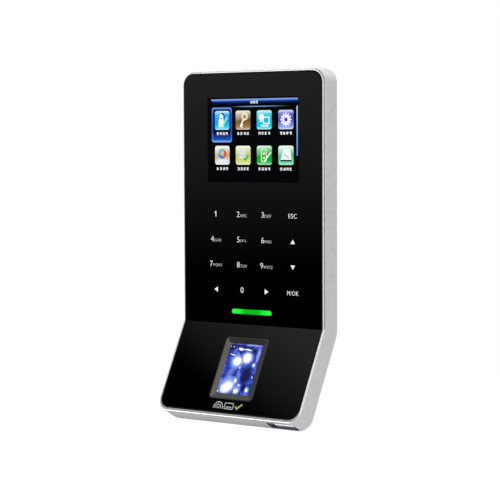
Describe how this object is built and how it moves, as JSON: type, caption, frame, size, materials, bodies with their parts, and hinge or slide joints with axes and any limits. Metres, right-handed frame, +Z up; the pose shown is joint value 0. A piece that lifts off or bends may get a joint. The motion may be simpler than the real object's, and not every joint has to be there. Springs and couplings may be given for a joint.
{
  "type": "fingerprint scanner terminal",
  "caption": "Wall-mounted access terminal with a colour display, touch keypad, status light bar and an optical fingerprint window on a forward-leaning lower section.",
  "frame": {"origin": "centre of the rear face of the wall plate, which lies on the wall", "axes": "+X to the right as seen from the front, +Y into the wall, +Z up; the front faces -Y"},
  "size_m": [0.078, 0.0402, 0.1583],
  "materials": {
    "silver_housing": "fine matte silver paint",
    "black_panel": "gloss black",
    "black_tape": "matte foam tape",
    "display": "dark display glass",
    "display_housing": "white moulding",
    "sheet_steel": "satin",
    "flex": "amber film",
    "white_cable": "satin",
    "circuit_board": "green solder mask",
    "light_guide": "milky clear",
    "status_light": "lit green",
    "sensor_rim": "satin dark grey",
    "sensor_window": "optical glass, lit blue",
    "black_plastic": "satin black",
    "rear_cover": "fine texture",
    "plated_steel": "bright zinc",
    "socket_steel": "bright plated",
    "socket_tongue": "white moulding",
    "brass": "satin",
    "white_plastic": "satin white",
    "red_plastic": "satin red",
    "cell_steel": "satin"
  },
  "bodies": {
    "wall_mount": {"wall_plate": "plated_steel"},
    "terminal": {"frame_housing": "silver_housing", "upper_glass": "black_panel", "lower_panel": "black_panel", "glass_tape": "black_tape", "panel_tape": "black_tape", "lcd_cell": "display", "lcd_backlight": "display_housing", "lcd_bracket": "sheet_steel", "lcd_flex": "flex", "touch_keypad_board": "circuit_board", "keypad_light_guide": "light_guide", "rfid_antenna_board": "circuit_board", "status_light_pipe": "status_light", "status_led_board": "circuit_board", "sensor_bezel": "sensor_rim", "sensor_prism": "sensor_window", "sensor_holder": "black_plastic", "sensor_light_board": "circuit_board", "sensor_lens": "black_plastic", "sensor_camera_board": "circuit_board", "sensor_flex": "flex", "usb_flex": "white_cable", "usb_port_shell": "socket_steel", "usb_tongue": "socket_tongue", "usb_board": "circuit_board", "main_board": "circuit_board", "processor_shield": "sheet_steel", "lock_relay": "black_plastic", "network_transformer": "black_plastic", "power_inductor": "black_plastic", "capacitor_1": "cell_steel", "capacitor_2": "cell_steel", "battery_holder": "black_plastic", "backup_battery": "cell_steel", "speaker": "black_plastic", "wifi_antenna": "flex", "network_header": "white_plastic", "lock_header": "white_plastic", "reader_header": "white_plastic", "power_header": "white_plastic", "tamper_switch": "black_plastic", "reset_switch": "black_plastic", "back_cover": "rear_cover", "threaded_insert": "brass", "cover_screw_1": "plated_steel", "cover_screw_2": "plated_steel", "cover_screw_3": "plated_steel", "cover_screw_4": "plated_steel", "cover_screw_5": "plated_steel", "cover_screw_6": "plated_steel", "board_screw_1": "plated_steel", "board_screw_2": "plated_steel", "board_screw_3": "plated_steel", "board_screw_4": "plated_steel"},
    "tamper_plunger": {"tamper_plunger": "white_plastic"},
    "reset_button": {"reset_button": "red_plastic"},
    "security_washer": {"security_washer": "plated_steel"},
    "security_screw": {"security_screw": "plated_steel"}
  },
  "joints": [
    {"name": "terminal_lift", "type": "slide", "parent": "wall_mount", "child": "terminal", "axis": [0, 0, 1], "range_m": [0, 0.006]},
    {"name": "tamper_press", "type": "slide", "parent": "terminal", "child": "tamper_plunger", "axis": [0, -1, 0], "range_m": [0, 0.0012], "stiffness_N_per_m": 120},
    {"name": "reset_press", "type": "slide", "parent": "terminal", "child": "reset_button", "axis": [0, -1, 0], "range_m": [0, 0.0003], "stiffness_N_per_m": 400},
    {"name": "screw_travel", "type": "slide", "parent": "wall_mount", "child": "security_washer", "axis": [0, 0, -1], "range_m": [0, 0.0035]},
    {"name": "screw_turn", "type": "hinge", "parent": "security_washer", "child": "security_screw", "pos_m": [0, -0.0048, -0.0582], "axis": [0, 0, -1], "range_deg": [0, 2520]}
  ],
  "couplings": [
    {"joint": "screw_turn", "follows": "screw_travel", "rad_per_m": 12566}
  ]
}
